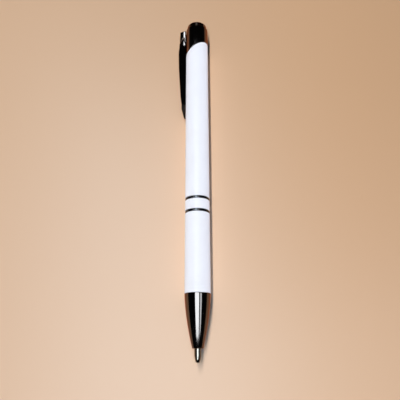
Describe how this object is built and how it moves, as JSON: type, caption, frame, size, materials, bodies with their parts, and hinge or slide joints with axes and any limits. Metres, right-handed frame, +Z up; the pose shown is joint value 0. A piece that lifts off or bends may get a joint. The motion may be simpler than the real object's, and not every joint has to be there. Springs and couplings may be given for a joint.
{
  "type": "pushbutton ballpoint pen",
  "caption": "Click ballpoint pen with slim round barrels, an ogive nose cone, a slanted top collar, a channel pocket clip and a domed push button.",
  "frame": {"origin": "on the flat facet at the bottom of the upper barrel, straight below the pen's axis and halfway along the pen, where the pen lies on a surface", "axes": "+Y along the pen from the writing point to the push button, +Z up from the surface that it lies on, +X away from the clip, which leans down on the -X side"},
  "size_m": [0.0124, 0.138, 0.0092],
  "materials": {
    "white_lacquer": "high-gloss white lacquer on a brass tube",
    "black_lacquer": "gloss black ring",
    "black_chrome": "polished black chrome plating",
    "brass": "turned, unplated",
    "mechanism_plastic": "moulded acetal, satin",
    "pale_plastic": "moulded acetal, satin",
    "refill_steel": "drawn tube, satin",
    "ink": "thick dark blue writing paste",
    "point_metal": "turned nickel silver, warm grey",
    "ball_steel": "polished",
    "spring_steel": "bright drawn wire"
  },
  "bodies": {
    "rear_body": {"upper_barrel": "white_lacquer", "top_collar": "black_chrome", "mechanism_body": "mechanism_plastic", "centre_coupling": "brass", "upper_trim_ring": "black_lacquer", "centre_band": "white_lacquer", "lower_trim_ring": "black_lacquer"},
    "front_body": {"lower_barrel": "white_lacquer", "thread_bush": "brass", "nose_insert": "brass", "nose_cone": "black_chrome", "return_spring": "spring_steel"},
    "button": {"push_button": "black_chrome", "plunger": "pale_plastic"},
    "refill": {"refill_tube": "refill_steel", "ink_column": "ink", "refill_point": "point_metal"},
    "rotor": {"cam_rotor": "pale_plastic"},
    "ball": {"tip_ball": "ball_steel"},
    "clip": {"clip": "black_chrome"}
  },
  "joints": [
    {"name": "button_press", "type": "slide", "parent": "rear_body", "child": "button", "axis": [0, 1, 0], "range_m": [-0.0008, 0.005]},
    {"name": "refill_slide", "type": "slide", "parent": "rear_body", "child": "refill", "axis": [0, 1, 0], "range_m": [-0.0008, 0.005], "deforming": ["return_spring"]},
    {"name": "cam_turn", "type": "hinge", "parent": "refill", "child": "rotor", "pos_m": [0, 0.0386, 0.00459], "axis": [0, 1, 0], "range_deg": [-9.6, 60]},
    {"name": "ball_roll", "type": "hinge", "parent": "refill", "child": "ball", "pos_m": [0, -0.0685, 0.00459], "axis": [1, 0, 0], "continuous": true},
    {"name": "clip_flex", "type": "hinge", "parent": "rear_body", "child": "clip", "pos_m": [-0.00399, 0.05705, 0.00314], "axis": [0.3418, 0, -0.9398], "range_deg": [0, 1.8], "stiffness_Nm_per_rad": 2.7},
    {"name": "front_unscrew", "type": "slide", "parent": "rear_body", "child": "front_body", "axis": [0, -1, 0], "range_m": [0, 0.008], "deforming": ["return_spring"]}
  ],
  "couplings": [
    {"joint": "refill_slide", "follows": "button_press", "ratio": 1},
    {"joint": "cam_turn", "follows": "button_press", "rad_per_m": 209.44}
  ]
}
